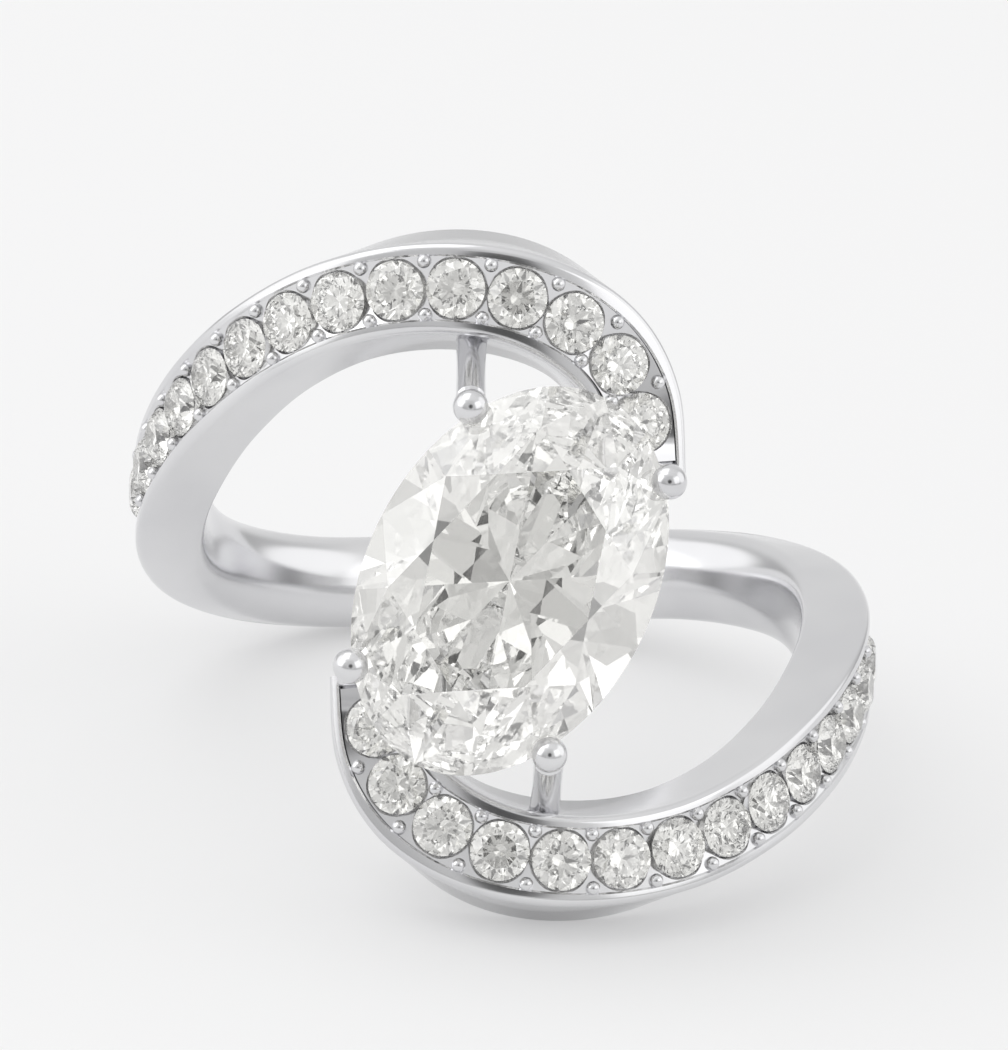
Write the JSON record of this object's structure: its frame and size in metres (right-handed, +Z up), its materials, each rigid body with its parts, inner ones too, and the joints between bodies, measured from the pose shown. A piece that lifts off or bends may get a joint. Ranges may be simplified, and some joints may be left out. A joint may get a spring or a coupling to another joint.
{
  "type": "bypass solitaire ring",
  "caption": "Bypass finger ring: a slim band whose two arms pass each other across the front, set with small round stones, and hold a large oval stone between them in claws.",
  "frame": {"origin": "middle of the ring's bounding box at the surface it lies on", "axes": "+Z up; the ring lies on its side, with the finger hole's axis leaning back from +Z towards +Y and the oval stone facing -Y and a little up; +X is to the right seen from the front"},
  "size_m": [0.0216, 0.024, 0.0173],
  "materials": {
    "white_gold": "polished",
    "diamond": "faceted and polished"
  },
  "bodies": {
    "root": {"band": "white_gold", "centre_stone": "diamond", "upper_stone_01": "diamond", "upper_stone_02": "diamond", "upper_stone_03": "diamond", "upper_stone_04": "diamond", "upper_stone_05": "diamond", "upper_stone_06": "diamond", "upper_stone_07": "diamond", "upper_stone_08": "diamond", "upper_stone_09": "diamond", "upper_stone_10": "diamond", "upper_stone_11": "diamond", "upper_stone_12": "diamond", "upper_stone_13": "diamond", "upper_stone_14": "diamond", "lower_stone_01": "diamond", "lower_stone_02": "diamond", "lower_stone_03": "diamond", "lower_stone_04": "diamond", "lower_stone_05": "diamond", "lower_stone_06": "diamond", "lower_stone_07": "diamond", "lower_stone_08": "diamond", "lower_stone_09": "diamond", "lower_stone_10": "diamond", "lower_stone_11": "diamond", "lower_stone_12": "diamond", "lower_stone_13": "diamond", "lower_stone_14": "diamond"}
  },
  "joints": []
}
